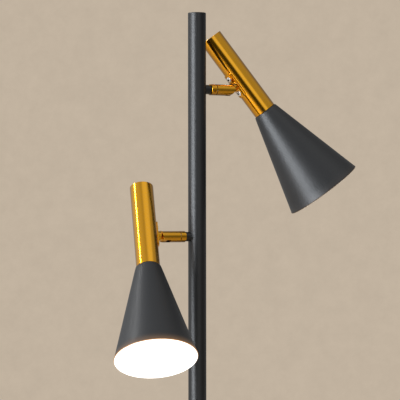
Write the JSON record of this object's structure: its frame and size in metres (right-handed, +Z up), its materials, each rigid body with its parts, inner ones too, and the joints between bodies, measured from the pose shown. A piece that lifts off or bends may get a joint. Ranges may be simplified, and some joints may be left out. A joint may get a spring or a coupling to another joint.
{
  "type": "two-head floor lamp",
  "caption": "Slim round pole on a round weighted base, with two cone spot heads on brass tubes that swivel and tilt on fork knuckles at opposite sides of the pole.",
  "frame": {"origin": "on the floor under the pole's axis, in the middle of the felt pad's underside", "axes": "+Z up the pole; -Y is the front, which the lower head's shade opens towards; +X to the right"},
  "size_m": [0.3537, 0.3172, 1.52],
  "materials": {
    "powder_black": "fine-textured matt powder coat",
    "shade_black": "fine-textured matt powder coat outside, white enamel inside",
    "brass": "brushed and lacquered, satin gold",
    "contact_brass": "bright pressed",
    "screw_steel": "bright nickel plate",
    "steel": "zinc plated",
    "iron": "as cast",
    "felt": "pressed felt",
    "rubber": "moulded",
    "porcelain": "moulded, semi-gloss",
    "bulb_glass": "frosted opal",
    "wire_sleeve": "extruded sleeve"
  },
  "bodies": {
    "stand": {"base_pad": "felt", "base_weight": "iron", "base_cover": "powder_black", "base_stud": "steel", "base_washer": "steel", "base_nut": "steel", "cable_gland": "rubber", "terminal_block": "porcelain", "pole_foot": "powder_black", "pole_lower": "powder_black", "pole_joiner": "powder_black", "pole_upper": "powder_black", "pole_cap": "powder_black", "upper_arm_boss": "powder_black", "upper_knuckle_base": "brass", "upper_grub_screw": "steel", "upper_swivel_nipple": "steel", "upper_swivel_clip": "steel", "upper_arm_wire": "wire_sleeve", "lower_arm_boss": "powder_black", "lower_knuckle_base": "brass", "lower_grub_screw": "steel", "lower_swivel_nipple": "steel", "lower_swivel_clip": "steel", "lower_arm_wire": "wire_sleeve"},
    "upper_fork": {"upper_knuckle_fork": "brass", "upper_hinge_pin": "brass"},
    "upper_head": {"upper_knuckle_tongue": "brass", "upper_tongue_nut": "steel", "upper_bracket_plate": "brass", "upper_bracket_screws": "screw_steel", "upper_holder_strap": "steel", "upper_holder_nipple": "steel", "upper_lampholder": "porcelain", "upper_holder_contacts": "contact_brass", "upper_shade_ring": "porcelain", "upper_head_tube": "brass", "upper_tube_cap": "brass", "upper_shade": "shade_black", "upper_bulb_cap": "steel", "upper_bulb_glass": "bulb_glass", "upper_head_wire": "wire_sleeve"},
    "lower_fork": {"lower_knuckle_fork": "brass", "lower_hinge_pin": "brass"},
    "lower_head": {"lower_knuckle_tongue": "brass", "lower_tongue_nut": "steel", "lower_bracket_plate": "brass", "lower_bracket_screws": "screw_steel", "lower_holder_strap": "steel", "lower_holder_nipple": "steel", "lower_lampholder": "porcelain", "lower_holder_contacts": "contact_brass", "lower_shade_ring": "porcelain", "lower_head_tube": "brass", "lower_tube_cap": "brass", "lower_shade": "shade_black", "lower_bulb_cap": "steel", "lower_bulb_glass": "bulb_glass", "lower_head_wire": "wire_sleeve"}
  },
  "joints": [
    {"name": "upper_swivel", "type": "hinge", "parent": "stand", "child": "upper_fork", "pos_m": [0.02511, 0.0145, 1.414], "axis": [0.866, 0.5, 0], "range_deg": [-149, 181]},
    {"name": "upper_tilt", "type": "hinge", "parent": "upper_fork", "child": "upper_head", "pos_m": [0.04503, 0.026, 1.414], "axis": [0.4806, -0.8325, 0.2756], "range_deg": [-35.8, 4.2]},
    {"name": "lower_swivel", "type": "hinge", "parent": "stand", "child": "lower_fork", "pos_m": [-0.02511, -0.0145, 1.2095], "axis": [-0.866, -0.5, 0], "range_deg": [-195, 135]},
    {"name": "lower_tilt", "type": "hinge", "parent": "lower_fork", "child": "lower_head", "pos_m": [-0.04503, -0.026, 1.2095], "axis": [-0.433, 0.75, -0.5], "range_deg": [-12.5, 27.5]}
  ]
}
